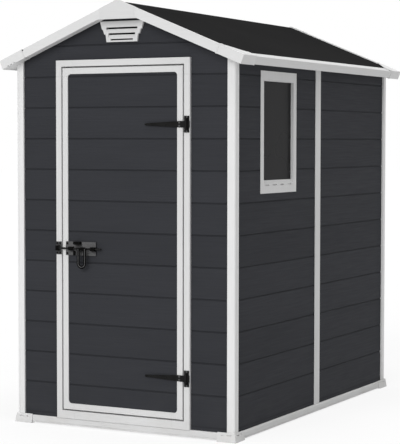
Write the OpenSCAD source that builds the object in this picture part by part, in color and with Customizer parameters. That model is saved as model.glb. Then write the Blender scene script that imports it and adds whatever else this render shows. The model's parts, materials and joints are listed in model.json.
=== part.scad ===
// Garden shed: an apex roof, one side window and a boarded door with strap hinges and a pad bolt.
// Millimetres. +Z is up, the front faces -Y, and the origin is on the ground under the middle.

/* [Walls] */
// Width across the outer faces of the corner posts
body_w = 1150; // [1000:10:1500]
// Depth across the outer faces of the corner posts
body_d = 1822; // [1500:10:2600]
// Height of the roof surface where it crosses the outer faces of the side posts
eave_h = 1727; // [1715:1:2100]
// Thickness of a wall panel
wall_t = 20; // [16:1:30]
// Height of one cladding board, groove to groove
board_h = 143; // [100:1:200]
// Height of the lowest board, above the base
first_board_h = 160; // [80:1:200]
// Width of the groove between two boards
groove_w = 8; // [4:0.5:12]
// Depth of the groove between two boards
groove_d = 3; // [1:0.5:5]

/* [Posts] */
// Face width of a corner post
post_w = 38; // [30:1:60]
// How far a corner post stands out from the cladding
post_proud = 9; // [4:1:15]
// Radius of a corner post's outer edge
post_r = 9; // [3:1:15]
// Width and height of the bead along each edge of a post
post_bead = 1.2; // [0.5:0.1:2]
// Width of the post in the middle of a side wall
mid_post_w = 59; // [40:1:90]
// How far the middle post stands out from the cladding
mid_post_proud = 5; // [3:1:10]
// Place of the middle post, from the middle of the depth
mid_post_y = 7; // [-60:1:60]

/* [Base] */
// Height of the base rails' top edge above the ground
base_h = 38; // [30:1:60]
// Gap between the ground and the underside of the rails
rail_gap = 5; // [3:1:10]
// How far the rails stand out from the cladding
rail_out = 12; // [8:1:25]
// Chamfer along the rails' top edge
rail_chamfer = 4; // [1:0.5:6]
// Length of a corner foot along each wall
foot_l = 95; // [60:1:140]
// Height of a corner foot
foot_h = 43; // [38:1:70]
// How far a foot's lower edge stands out from the rails
foot_out = 8; // [4:1:14]
// Thickness of the floor slab above its ribs
floor_t = 30; // [20:1:34]
// Number of ribs under the floor
floor_ribs = 7; // [3:1:12]
// Number of bands that the tread lines part the floor into
floor_treads = 24; // [10:1:40]

/* [Roof] */
// Slope of the roof in degrees
roof_pitch = 22.3; // [16:0.1:30]
// Thickness of a roof panel
roof_t = 33; // [25:1:40]
// Overhang of the roof beyond the posts at the sides, measured level
eave_out = 63; // [45:1:120]
// Overhang of the roof beyond the posts at the front and back
verge_out = 45; // [40:1:120]
// Wall thickness of the edge trims
trim_t = 4; // [3:0.5:6]
// Width of the trims' top lip along the eaves
eave_lip = 46; // [20:1:70]
// Width of the trims' top lip along the gables
verge_lip = 26; // [15:1:50]
// How far a cap stands out from the trims it covers
cap_t = 1.2; // [1:0.1:4]
// Length of a corner cap along each edge
cap_l = 132; // [90:1:180]
// Wall thickness of the eave trims
eave_t = 2; // [2:0.5:4]
// Width of the cap over a gable's peak
peak_cap_w = 184; // [150:1:240]
// Depth of the peak cap's foot below the underside of the verge trims
peak_drop = 41.5; // [35:0.5:70]

/* [Vent] */
// Width of the vent at its top
vent_w = 229; // [160:1:260]
// Width of the vent at its foot
vent_foot_w = 170; // [120:1:200]
// Height of the vent
vent_h = 94; // [80:1:110]
// Gap between the peak cap and the top of the vent
vent_gap = 6; // [3:1:12]
// How far the vent stands out from the cladding
vent_proud = 11; // [6:1:16]
// Height of a louvre slot
slot_h = 7.5; // [5:0.5:10]

/* [Doorway] */
// Outer width of the door frame
frame_w = 704; // [640:2:800]
// Face width of the door frame
frame_bar = 29; // [22:1:40]
// Height of the door frame's top edge above the ground
frame_top = 1704; // [1600:1:1710]
// Height of the threshold
sill_h = 37; // [25:1:50]
// How far the door frame stands out from the cladding
frame_proud = 14; // [5:1:18]
// How far the frame's flange laps over the wall
frame_lap = 8; // [5:1:12]
// Length of the frame's upper corner pieces below its top edge
elbow_l = 75; // [50:1:120]
// Length of the frame's lower corner pieces above the base
foot_elbow_l = 93; // [60:1:140]
// Length of the corner pieces along the head and the threshold
elbow_w = 94; // [60:1:140]
// Gap all round the closed door
door_gap = 7; // [6:0.5:10]

/* [Door] */
// Thickness of the door
door_t = 28; // [22:1:36]
// Width of the white border on the door
border_w = 28; // [20:1:40]
// How far the border stands out from the door's panel
border_proud = 5; // [3:1:8]
// Radius of the border's inner corners
border_r = 16; // [6:1:30]
// Wall thickness of the border round the edge of the door
border_edge = 4; // [3:1:6]

/* [Hinges] */
// Height of the top hinge above the ground
top_hinge_z = 1407; // [1200:1:1500]
// Height of the bottom hinge above the ground
bottom_hinge_z = 269; // [200:1:500]
// Height of a hinge's plate on the jamb
hinge_plate_h = 74; // [60:1:90]
// Width of a hinge's plate on the jamb
hinge_plate_w = 25; // [20:1:27]
// Length of a hinge strap, from the pin to the tip
strap_l = 215; // [150:1:300]
// Height of a strap at its root
strap_root = 29; // [20:1:34]
// Height of a strap near its tip
strap_tip = 10; // [6:1:20]
// Thickness of the hinge metal
hinge_t = 3; // [2:0.5:4]
// Radius of a hinge pin
pin_r = 2.5; // [2:0.1:3]

/* [Bolt] */
// Height of the bolt above the ground
bolt_z = 835; // [600:1:1100]
// Radius of the bolt's rod
rod_r = 4.5; // [3.5:0.1:6]
// Travel of the bolt into its keep
bolt_travel = 35; // [20:1:40]
// Length of the bolt's base plate
bolt_plate_l = 163; // [140:1:200]
// Height of the bolt's base plate
bolt_plate_h = 64; // [50:1:80]
// Width of the hasp loop
hasp_w = 51; // [40:1:60]
// Width of the slot in the hasp
hasp_slot = 20; // [10:1:28]
// Length of the hasp below the rod
hasp_l = 92; // [70:1:110]
// Width of the stop block above the rod
block_w = 31; // [20:1:40]

/* [Window] */
// Width of the window frame
window_w = 391; // [250:1:450]
// Height of the window frame
window_h = 559; // [300:1:700]
// Height of the window frame's top edge above the ground
window_top = 1652; // [1500:1:1660]
// Centre of the window, from the middle of the depth
window_y = -442; // [-520:1:-400]
// Face width of the window's side bars
window_bar = 33; // [15:1:50]
// Face width of the window's top bar
window_head = 46; // [20:1:70]
// Face width of the window's foot, below the sloped sill
window_foot = 38; // [20:1:70]
// Height of the sloped sill
window_sill = 22; // [10:1:40]
// Width of the raised rim round the window frame
window_rim = 5; // [3:1:10]
// Height of a drain slot under the sill
drain_h = 5; // [3:0.5:8]
// How far the window frame stands out from the cladding
window_proud = 2; // [1:0.5:10]
// Depth of the pane behind the frame's face
pane_depth = 15; // [10:1:19]
// Thickness of the pane
pane_t = 3; // [2:0.5:4]

/* [Hidden] */
$fn = 48;
// Overshoot of a cutting solid past the face it cuts
cut = 1;
// Running clearance between a turning or sliding piece and its bore
fit = 0.1;
// End play beside a turning piece.
play = 0.5;
// Gap between sloping faces that lie on each other.
seat = 0.1;
// Width and depth of the line where two moulded pieces meet.
seam_w = 1.5;
seam_d = 1;

// Half sizes of the body, at the posts and at the cladding.
post_x = body_w / 2;
post_y = body_d / 2;
clad_x = post_x - post_proud;
clad_y = post_y - post_proud;
// Inner faces of the corner posts, which the wall panels butt against.
bay_x = post_x - post_w;
bay_y = post_y - post_w;

// The roof's ridge, at the surface of the two roof panels.
ridge_h = eave_h + post_x * tan(roof_pitch);
// Distance down the slope from the ridge to the eave trim's outer face.
slope_l = (post_x + eave_out - trim_t * sin(roof_pitch)) / cos(roof_pitch);
trim_depth = roof_t + trim_t;
eave_depth = roof_t + eave_t;
verge_y = post_y + verge_out;

// The doorway, its clear opening and the leaf in it.
frame_x = frame_w / 2;
frame_front = -clad_y - frame_proud;
door_x = frame_x - frame_bar;
door_z0 = base_h + sill_h;
door_z1 = frame_top - frame_bar;
leaf_x = door_x - door_gap;
leaf_z0 = door_z0 + door_gap;
leaf_z1 = door_z1 - door_gap;
leaf_back = frame_front + door_t;
// The stop behind the leaf.
stop_gap = 6;
stop_t = 6;
stop_w = 15;
stop_y = leaf_back + stop_gap;
panel_front = frame_front + border_proud;

// Hinge pin, level with the middle of the jamb, in front of the plate.
barrel_r = 5.5;
hinge_x = frame_x - frame_bar / 2;
hinge_y = frame_front - hinge_t - barrel_r;
// Height of a lug above and below the strap's barrel.
lug_h = 10;

// Bolt rod, in front of its base plate.
bolt_t = 2.5;
rod_y = frame_front - bolt_t - rod_r - 4;
rod_l = 214;
plate_x0 = -leaf_x + 17;
keep_w = 29;
keep_x0 = -frame_x;
rod_x0 = keep_x0 + keep_w + 6;
guide_w = 24;
guide_x = plate_x0 + 21;
guide_r = rod_r + 4;
guide_front = rod_y - guide_r;
collar_w = 20;
// With the rod drawn, the collar stops this far from the first guide.
collar_rest = 8;
collar_x = guide_x + guide_w + collar_rest + bolt_travel + collar_w / 2;
collar_r = 7.5;
// The hasp: its plate's thickness, how far it stands before the guides, and its top above the rod.
hasp_t = 2.5;
hasp_back = guide_front - 2.5;
hasp_top = 4;
// Reach of the hasp's top from the rod's centre; the stop block's foot stays clear of its turn.
hasp_reach = norm([rod_y - hasp_back + hasp_t, hasp_top]);
block_clear = 5.5;
block_x = plate_x0 + 55;

// Window: the frame's outer and clear edges, and the pane's outer face.
window_z1 = window_top;
window_z0 = window_top - window_h;
window_face = clad_x + window_proud;
pane_x = window_face - pane_depth;

white = [0.86, 0.86, 0.86];
anthracite = [0.24, 0.245, 0.26];
roof_black = [0.17, 0.17, 0.17];
hardware = [0.1, 0.1, 0.1];

// A box from its two opposite corners.
module box(a, b) translate(a) cube(b - a);

// Extrudes an XZ outline from y0 to y1.
module along_y(y0, y1) translate([0, y1, 0]) rotate([90, 0, 0]) linear_extrude(y1 - y0) children();

// Extrudes a YZ outline from x0 to x1.
module along_x(x0, x1)
    translate([x0, 0, 0]) rotate([90, 0, 90]) linear_extrude(x1 - x0) children();

// Children and their mirror image across the middle, in X.
module both_sides() {
    children();
    mirror([1, 0, 0]) children();
}

// Children and their mirror image across the middle, in Y.
module both_ends() {
    children();
    mirror([0, 1, 0]) children();
}

// A point [x, z] on the right-hand slope: s down the slope from the ridge, n out of the surface.
function slope_point(s, n) =
    [s * cos(roof_pitch) + n * sin(roof_pitch), ridge_h - s * sin(roof_pitch) + n * cos(roof_pitch)];

// Height of the plane n at a level distance x from the ridge.
function roof_z(x, n = 0) = ridge_h + n / cos(roof_pitch) - x * tan(roof_pitch);

// Distance down the slope at which the plane n crosses x.
function slope_at(x, n) = (x - n * sin(roof_pitch)) / cos(roof_pitch);

// XZ outline of the layer n0..n1 on the right-hand slope, from the ridge to s1.
module layer_from_ridge(n0, n1, s1)
    polygon([[0, roof_z(0, n0)], slope_point(s1, n0), slope_point(s1, n1), [0, roof_z(0, n1)]]);

// XZ outline of the layer n0..n1 on the right-hand slope, from s0 to s1.
module layer(n0, n1, s0, s1)
    polygon([slope_point(s0, n0), slope_point(s1, n0), slope_point(s1, n1), slope_point(s0, n1)]);

// Extrudes an outline drawn on the right-hand slope, [distance down the slope, Y], from n0 to n1.
module on_slope(n0, n1)
    translate([0, 0, ridge_h]) rotate([0, roof_pitch, 0])
        translate([0, 0, n0]) linear_extrude(n1 - n0) children();

// The space under both roof panels, as an XZ outline.
module under_roof()
    polygon([
        [-post_x - eave_out, 0], [post_x + eave_out, 0],
        [post_x + eave_out, roof_z(post_x + eave_out, -roof_t)],
        [0, roof_z(0, -roof_t)],
        [-post_x - eave_out, roof_z(post_x + eave_out, -roof_t)]
    ]);

/* ---- Walls ---- */

// Heights of the grooves that lie between z0 and z1.
function groove_heights(z0, z1) =
    [for (z = base_h + first_board_h; z < z1 - groove_w; z = z + board_h) if (z > z0 + groove_w) z];

// Outline of a boarded panel: [distance in from the face, height], with a groove at each board's edge.
module boarded(z0, z1, t) {
    face = [for (z = groove_heights(z0, z1)) each [
        [0, z - groove_w / 2], [groove_d, z - groove_w / 4],
        [groove_d, z + groove_w / 4], [0, z + groove_w / 2]
    ]];
    polygon(concat([[0, z0]], face, [[0, z1], [t, z1], [t, z0]]));
}

// A front wall panel from x0 to x1, standing on z0 and cut to the roof's slope.
module front_panel(x0, x1, z0)
    intersection() {
        translate([0, -clad_y, 0]) along_x(x0, x1) boarded(z0, ridge_h, wall_t);
        along_y(-clad_y - cut, -clad_y + wall_t + cut) under_roof();
    }

// A right-hand side wall panel from y0 to y1.
module side_panel(y0, y1)
    intersection() {
        along_y(y0, y1) translate([clad_x, 0]) mirror([1, 0]) boarded(base_h, ridge_h, wall_t);
        along_y(y0 - cut, y1 + cut) under_roof();
    }

module window_hole()
    box([clad_x - wall_t - cut, window_y - window_w / 2 + frame_lap, window_z0 + frame_lap],
        [clad_x + cut, window_y + window_w / 2 - frame_lap, window_z1 - frame_lap]);

module front_wall_left() color(anthracite) front_panel(-bay_x, -frame_x + frame_lap, base_h);

module front_wall_right() color(anthracite) front_panel(frame_x - frame_lap, bay_x, base_h);

module front_gable()
    color(anthracite) difference() {
        front_panel(-frame_x + frame_lap, frame_x - frame_lap, frame_top - frame_lap);
        translate([0, -clad_y + wall_t + cut, 0])
            rotate([90, 0, 0]) linear_extrude(wall_t + 2 * cut) vent_hole();
    }

module back_wall()
    color(anthracite) mirror([0, 1, 0]) front_panel(-bay_x, bay_x, base_h);

module right_wall_front()
    color(anthracite) difference() {
        side_panel(-bay_y, mid_post_y);
        window_hole();
    }

module right_wall_back() color(anthracite) side_panel(mid_post_y, bay_y);

module left_wall_front() color(anthracite) mirror([1, 0, 0]) side_panel(-bay_y, mid_post_y);

module left_wall_back() color(anthracite) mirror([1, 0, 0]) side_panel(mid_post_y, bay_y);

/* ---- Posts ---- */

// Plan of the front right corner post: a rounded outer edge and a bead beside each wall.
module post_plan() {
    bead_w = 3 * post_bead;
    difference() {
        union() {
            translate([bay_x, -post_y]) square([post_w - post_r, post_w]);
            translate([bay_x, -post_y + post_r]) square([post_w, post_w - post_r]);
            translate([post_x - post_r, -post_y + post_r]) circle(post_r);
        }
        // The face between the two beads is sunk by the bead's height.
        translate([bay_x + bead_w, -post_y - cut]) square([post_w - post_r - 2 * bead_w, post_bead + cut]);
        translate([post_x - post_bead, -post_y + post_r + bead_w])
            square([post_bead + cut, post_w - post_r - 2 * bead_w]);
    }
}

module corner_post()
    color(white) intersection() {
        translate([0, 0, base_h]) linear_extrude(ridge_h) post_plan();
        along_y(-post_y - cut, post_y + cut) under_roof();
    }

module post_front_right() corner_post();
module post_front_left() mirror([1, 0, 0]) corner_post();
module post_back_right() mirror([0, 1, 0]) corner_post();
module post_back_left() mirror([1, 0, 0]) mirror([0, 1, 0]) corner_post();

// The cover strip over the joint in the middle of a side wall.
module mid_post()
    color(white) intersection() {
        along_y(mid_post_y - mid_post_w / 2, mid_post_y + mid_post_w / 2)
            translate([clad_x, base_h]) square([mid_post_proud, ridge_h]);
        along_y(-post_y, post_y) under_roof();
    }

module mid_post_right() mid_post();
module mid_post_left() mirror([1, 0, 0]) mid_post();

/* ---- Base ---- */

// Depth of the line that runs along the foot of a rail, and its height above the ground.
rail_line = 2;
rail_line_z = rail_gap + 5;

// Section of a base rail: [distance out from the cladding, height].
module rail_section()
    polygon([
        [-wall_t, rail_gap], [rail_out, rail_gap],
        [rail_out, rail_line_z], [rail_out - rail_line, rail_line_z + rail_line / 2],
        [rail_out - rail_line, rail_line_z + rail_line], [rail_out, rail_line_z + 3 * rail_line / 2],
        [rail_out, base_h - rail_chamfer],
        [rail_out - rail_chamfer, base_h], [-wall_t, base_h]
    ]);

// Length of the rails between the feet.
rail_x = post_x + rail_out - post_proud + foot_out - foot_l;
rail_y = post_y + rail_out - post_proud + foot_out - foot_l;

module base_rail_front()
    color(white) along_x(-rail_x, rail_x) mirror([1, 0]) translate([clad_y, 0]) rail_section();
module base_rail_back() mirror([0, 1, 0]) base_rail_front();
module base_rail_right() color(white) along_y(-rail_y, rail_y) translate([clad_x, 0]) rail_section();
module base_rail_left() mirror([1, 0, 0]) base_rail_right();

// Two snap slots near the top of a foot's front face: [distance from the foot's outer end, width].
foot_slots = [[24, 22], [64, 9]];
foot_slot_h = 5;

// The front right foot: two sloped outer faces, a ledge under the walls and the post.
module corner_foot() {
    out = rail_out - post_proud + foot_out;
    lean = foot_out - 2;
    inner = wall_t + post_proud;
    difference() {
        intersection() {
            along_y(-post_y - out, -post_y - out + foot_l)
                polygon([
                    [post_x + out - foot_l, 0], [post_x + out, 0],
                    [post_x + out - lean, foot_h], [post_x + out - foot_l, foot_h]
                ]);
            along_x(post_x + out - foot_l, post_x + out)
                polygon([
                    [-post_y - out, 0], [-post_y - out + foot_l, 0],
                    [-post_y - out + foot_l, foot_h], [-post_y - out + lean, foot_h]
                ]);
        }
        // Room for the posts and the walls, which stand on the base.
        box([0, -post_y, base_h], [post_x, 0, foot_h + cut]);
        // Room for the floor inside the walls.
        box([0, -post_y + inner, -cut], [post_x - inner, 0, foot_h]);
        // Snap slots, in the front face and in the side face
        for (f = foot_slots) {
            translate([post_x + out - f[0] - f[1], -post_y - out - cut, foot_h - 3 * foot_slot_h])
                cube([f[1], foot_out + 3 * cut, foot_slot_h]);
            translate([post_x + out - foot_out - 2 * cut, -post_y - out + f[0], foot_h - 3 * foot_slot_h])
                cube([foot_out + 3 * cut, f[1], foot_slot_h]);
        }
    }
}

module base_corners() color(white) both_sides() both_ends() corner_foot();

// Width and depth of the tread lines across the floor.
tread_w = 6;
tread_d = 1.5;

module floor_panel()
    color(anthracite) {
        fx = clad_x - wall_t;
        fy = clad_y - wall_t;
        rib_w = 30;
        rib_h = base_h - floor_t;
        tread_pitch = 2 * fy / floor_treads;
        difference() {
            box([-fx, -fy, rib_h], [fx, fy, base_h]);
            // Tread lines across the floor
            for (i = [1 : floor_treads - 1])
                translate([-fx - cut, -fy + i * tread_pitch - tread_w / 2, base_h - tread_d])
                    cube([2 * (fx + cut), tread_w, tread_d + cut]);
        }
        for (i = [0 : floor_ribs - 1])
            translate([-fx + i * (2 * fx - rib_w) / (floor_ribs - 1), -fy, 0]) cube([rib_w, 2 * fy, rib_h]);
    }

/* ---- Roof ---- */

module roof_panel()
    color(roof_black) along_y(-verge_y + trim_t + seat, verge_y - trim_t - seat)
        layer_from_ridge(-roof_t + seat, -seat, slope_l - eave_t - seat);

module roof_panel_right() roof_panel();
module roof_panel_left() mirror([1, 0, 0]) roof_panel();

// Eave trim: an outer face, a lip over the roof panel and a soffit back to the posts.
module eave_trim() {
    lip_y = verge_y - verge_lip - seat;
    color(white) {
        along_y(-lip_y, lip_y) {
            layer(-eave_depth, eave_t, slope_l - eave_t, slope_l);
            layer(0, eave_t, slope_l - eave_lip, slope_l);
        }
        along_y(-post_y + seat, post_y - seat)
            layer(-eave_depth, -roof_t, slope_at(post_x, -eave_depth) + seat, slope_l);
    }
}

module eave_trim_right() eave_trim();
module eave_trim_left() mirror([1, 0, 0]) eave_trim();

// Width and depth of the drip groove under a verge trim.
drip_w = 4;
drip_d = 2;

// Three small slots near the foot of two of the caps' gable faces: size, spacing and first place.
notch_w = 7;
notch_h = 4;
notch_pitch = 18.5;
notch_s = slope_l - 75;
notch_depth = 12;

// The slots' pockets, through the front right corner cap and into the verge trim behind it.
module notches()
    for (i = [0 : 2])
        along_y(-verge_y - cap_t - cut, -verge_y + notch_depth) {
            s = notch_s + i * notch_pitch;
            layer(-trim_depth, -trim_depth + notch_h, s, s + notch_w);
        }

// Front right verge trim: a face board, a lip over the roof panel and a soffit back to the posts.
module verge_trim()
    difference() {
        union() {
            along_y(-verge_y, -verge_y + trim_t) layer_from_ridge(-trim_depth, trim_t, slope_l);
            along_y(-verge_y, -verge_y + verge_lip) layer_from_ridge(0, trim_t, slope_l);
            along_y(-verge_y, -verge_y + verge_lip) layer(-trim_depth, trim_t, slope_l - eave_t, slope_l);
            along_y(-verge_y, -post_y - seat) layer_from_ridge(-trim_depth, -roof_t, slope_l - eave_t);
        }
        // Drip groove behind the face board
        along_y(-verge_y + trim_t, -verge_y + trim_t + drip_w)
            layer(-trim_depth - cut, -trim_depth + drip_d, -cut, slope_l - cap_l);
    }

// The verge trim at the corners whose caps have slots.
module notched_verge()
    difference() {
        verge_trim();
        notches();
    }

module verge_front_right() color(white) verge_trim();
module verge_front_left() color(white) mirror([1, 0, 0]) notched_verge();
module verge_back_right() color(white) mirror([0, 1, 0]) notched_verge();
module verge_back_left() color(white) mirror([1, 0, 0]) mirror([0, 1, 0]) verge_trim();

// Width of the raised rim at each end of a corner cap, and how far it stands out.
rim_w = 5;
rim_t = 1.2;

// Front right corner cap: a shell over the end of the verge trim and of the eave trim.
module corner_cap() {
    s0 = slope_l - cap_l;
    y1 = -verge_y + cap_l;
    cap_shell(cap_t, s0, y1);
    // Raised rims: down the slope's end of the gable face, and along the eave's end
    intersection() {
        cap_shell(cap_t + rim_t, s0, y1);
        union() {
            along_y(-verge_y - cap_l, -post_y) layer(-cap_l, cap_l, s0 - cut, s0 + rim_w);
            along_y(y1 - rim_w, y1 + cut) layer(-cap_l, cap_l, s0, slope_l + cap_l);
        }
    }
}

// A corner cap's shell, t thick: two faces, a top and a soffit.
module cap_shell(t, s0, y1) {
    s1 = slope_l + t;
    y0 = -verge_y - t;
    n0 = -trim_depth - t;
    n1 = trim_t + t;
    // Face over the verge and face over the eave
    along_y(y0, -verge_y - seat) layer(n0, n1, s0, s1);
    along_y(y0, y1) layer(n0, n1, slope_l + seat, s1);
    // Top over both lips, with its inner edge cut across the corner
    on_slope(trim_t + seat, n1)
        polygon([[s0, y0], [s1, y0], [s1, y1], [slope_l - eave_lip, y1], [s0, -verge_y + verge_lip]]);
    // Soffit under both trims
    along_y(y0, -post_y - seat) layer(n0, -trim_depth - seat, s0, s1);
    along_y(y0, y1) layer(n0, -trim_depth - seat, slope_at(post_x, n0) + seat, s1);
}

module notched_cap()
    difference() {
        corner_cap();
        notches();
    }

module roof_corner_caps()
    color(white) {
        corner_cap();
        mirror([1, 0, 0]) mirror([0, 1, 0]) corner_cap();
        mirror([1, 0, 0]) notched_cap();
        mirror([0, 1, 0]) notched_cap();
    }

// Height of the peak cap's flat foot.
peak_foot_z = roof_z(0, -trim_depth) - peak_drop;

// Cap over the front peak: a flat-footed face over the mitre of the two verge trims, and a top.
module peak_cap() {
    half = peak_cap_w / 2;
    n1 = trim_t + cap_t;
    color(white) {
        along_y(-verge_y - cap_t, -verge_y - seat)
            polygon([
                [-half, peak_foot_z], [half, peak_foot_z],
                [half, roof_z(half, n1)], [0, roof_z(0, n1)], [-half, roof_z(half, n1)]
            ]);
        both_sides() along_y(-verge_y - cap_t, -verge_y + verge_lip) {
            top_s = slope_at(half, n1);
            layer_from_ridge(trim_t + seat, n1, top_s);
        }
        // The foot closes the corner between the two trims.
        along_y(-verge_y - cap_t, -verge_y + trim_t)
            polygon([
                [-slope_width(peak_foot_z), peak_foot_z], [slope_width(peak_foot_z), peak_foot_z],
                [0, roof_z(0, -trim_depth - seat)]
            ]);
    }
}

// Level distance from the ridge at which the underside of the trims comes down to z.
function slope_width(z) = (roof_z(0, -trim_depth - seat) - z) / tan(roof_pitch);

module peak_cap_front() peak_cap();
module peak_cap_back() mirror([0, 1, 0]) peak_cap();

/* ---- Vent ---- */

vent_top = peak_foot_z - vent_gap;
vent_front = -clad_y - vent_proud;
// The hole in the wall: how far it lies inside the vent's outline, and the wall of the vent's neck.
vent_rim = 6;
vent_hole_in = 4;
vent_foot_in = 12;
vent_neck_t = 3;
// The outline's three tiers: share of the narrowing, share of the height, and each tier's own lean.
tier_share = [0, 0.53, 1];
tier_z = [0, 0.4, 0.63, 1];
tier_lean = [10.5, 6.5, 4.5];
// The slots: first one and spacing as shares of the vent's height, how far the first lies inside the
// foot's width at each end, and how much each of the others is narrower there.
vent_slots = 3;
first_slot = 0.293;
slot_pitch = 0.279;
slot_in = 3;
slot_step = 11.75;
// A blade: how far its upper edge lies behind its lip as a share of vent_proud, and its lip's height.
blade_depth = 0.7;
blade_lip = 5;

function tier_x(i) = vent_w / 2 - tier_share[i] * (vent_w - vent_foot_w) / 2;
function slot_top(i) = vent_top - (first_slot + i * slot_pitch) * vent_h;
function slot_x(i) = vent_foot_w / 2 - slot_in - i * slot_step;

// Front outline of the vent, in XZ: three tiers, each narrower than the one above it.
module vent_outline() {
    side = [for (i = [0 : 2]) each [
        [tier_x(i), vent_top - tier_z[i] * vent_h],
        [tier_x(i) - tier_lean[i], vent_top - tier_z[i + 1] * vent_h]
    ]];
    polygon(concat(side, [for (i = [5 : -1 : 0]) [-side[i][0], side[i][1]]]));
}

// Outline of the hole behind the vent, in XZ, made smaller by g all round.
module vent_hole(g = 0) {
    top_x = (vent_w + vent_foot_w) / 4 - vent_hole_in - g;
    foot_x = vent_foot_w / 2 - vent_foot_in - g;
    polygon([
        [-top_x, vent_top - vent_rim - g], [top_x, vent_top - vent_rim - g],
        [foot_x, vent_top - vent_h + vent_rim + g], [-foot_x, vent_top - vent_h + vent_rim + g]
    ]);
}

module vent_louvre()
    color(white) {
        difference() {
            union() {
                along_y(vent_front, -clad_y) vent_outline();
                along_y(-clad_y, -clad_y + wall_t) vent_hole();
            }
            // Hollow neck through the wall
            along_y(-clad_y, -clad_y + wall_t + cut) vent_hole(vent_neck_t);
            // Openings; the lowest is a plain slot
            for (i = [0 : vent_slots - 1]) {
                foot = i < vent_slots - 1 ? slot_top(i + 1) + blade_lip / 2 : slot_top(i) - slot_h;
                box([-slot_x(i), vent_front - cut, foot], [slot_x(i), -clad_y + cut, slot_top(i)]);
            }
        }
        // Blades that climb inwards from their lips, so that rain runs out
        for (i = [0 : vent_slots - 2]) {
            back = vent_front + blade_depth * vent_proud;
            foot = slot_top(i) - slot_h;
            along_x(-slot_x(i), slot_x(i))
                polygon([
                    [vent_front, slot_top(i + 1)], [vent_front, slot_top(i + 1) + blade_lip],
                    [back, foot], [back, foot - blade_lip]
                ]);
        }
    }

/* ---- Doorway ---- */

// The whole frame round the doorway: a face flange, a lining through the wall and a stop.
module doorway_frame()
    difference() {
        union() {
            box([-frame_x, frame_front, base_h], [frame_x, -clad_y, frame_top]);
            box([-frame_x + frame_lap, frame_front, base_h],
                [frame_x - frame_lap, stop_y + stop_t, frame_top - frame_lap]);
        }
        box([-door_x, frame_front - cut, door_z0], [door_x, stop_y, door_z1]);
        box([-door_x + stop_w, frame_front, door_z0 + stop_w],
            [door_x - stop_w, stop_y + stop_t + cut, door_z1 - stop_w]);
    }

elbow_z = frame_top - elbow_l;
foot_elbow_z = base_h + foot_elbow_l;

// Lines where the corner pieces of the frame and of the door's border meet the straight bars.
module corner_seams() {
    for (z = [elbow_z, foot_elbow_z])
        box([-frame_x - cut, frame_front - cut, z - seam_w / 2],
            [frame_x + cut, frame_front + seam_d, z + seam_w / 2]);
    for (x = [elbow_w - frame_x, frame_x - elbow_w])
        box([x - seam_w / 2, frame_front - cut, base_h - cut],
            [x + seam_w / 2, frame_front + seam_d, frame_top + cut]);
}

module door_jamb_left()
    color(white) difference() {
        intersection() {
            doorway_frame();
            box([-frame_x, frame_front, door_z0], [-door_x + stop_w, stop_y + stop_t, elbow_z]);
        }
        corner_seams();
    }

module door_jamb_right()
    color(white) difference() {
        intersection() {
            doorway_frame();
            box([door_x - stop_w, frame_front, door_z0], [frame_x, stop_y + stop_t, elbow_z]);
        }
        corner_seams();
    }

module door_head()
    color(white) difference() {
        intersection() {
            doorway_frame();
            box([-frame_x, frame_front, elbow_z], [frame_x, stop_y + stop_t, frame_top]);
        }
        corner_seams();
    }

module door_threshold()
    color(white) difference() {
        intersection() {
            doorway_frame();
            union() {
                box([-frame_x, frame_front, base_h], [frame_x, stop_y + stop_t, door_z0]);
                box([-door_x + stop_w, stop_y, door_z0],
                    [door_x - stop_w, stop_y + stop_t, door_z0 + stop_w]);
            }
        }
        corner_seams();
    }

/* ---- Door ---- */

// A rectangle in XZ from [-x, z0] to [x, z1] with rounded corners.
module rounded_rect(x, z0, z1, r) {
    translate([-x + r, z0]) square([2 * (x - r), z1 - z0]);
    translate([-x, z0 + r]) square([2 * x, z1 - z0 - 2 * r]);
    for (sx = [-1, 1], z = [z0 + r, z1 - r]) translate([sx * (x - r), z]) circle(r);
}

module door_border()
    color(white) difference() {
        along_y(frame_front, leaf_back)
            translate([-leaf_x, leaf_z0]) square([2 * leaf_x, leaf_z1 - leaf_z0]);
        along_y(frame_front - cut, panel_front + cut)
            rounded_rect(leaf_x - border_w, leaf_z0 + border_w, leaf_z1 - border_w, border_r);
        box([-leaf_x + border_edge, panel_front, leaf_z0 + border_edge],
            [leaf_x - border_edge, leaf_back + cut, leaf_z1 - border_edge]);
        corner_seams();
    }

module door_panel() {
    x = leaf_x - border_edge;
    half_t = (leaf_back - panel_front) / 2;
    color(anthracite) {
        // Boards on both faces of the leaf
        for (face = [0, 1])
            translate([0, face == 0 ? panel_front : leaf_back, 0]) mirror([0, face, 0]) along_x(-x, x)
                boarded(leaf_z0 + border_edge, leaf_z1 - border_edge, half_t);
        // Pads that carry the straps and the bolt's plate, level with the border
        for (z = [bottom_hinge_z, top_hinge_z])
            box([hinge_x - strap_l + 12, frame_front, z - 6],
                [leaf_x - border_w, panel_front + groove_d, z + 6]);
        box([-leaf_x + border_w, frame_front, bolt_z - bolt_plate_h / 2 + 4],
            [plate_x0 + bolt_plate_l - 4, panel_front + groove_d, bolt_z + bolt_plate_h / 2 - 4]);
    }
}

/* ---- Hinges ---- */

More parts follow.
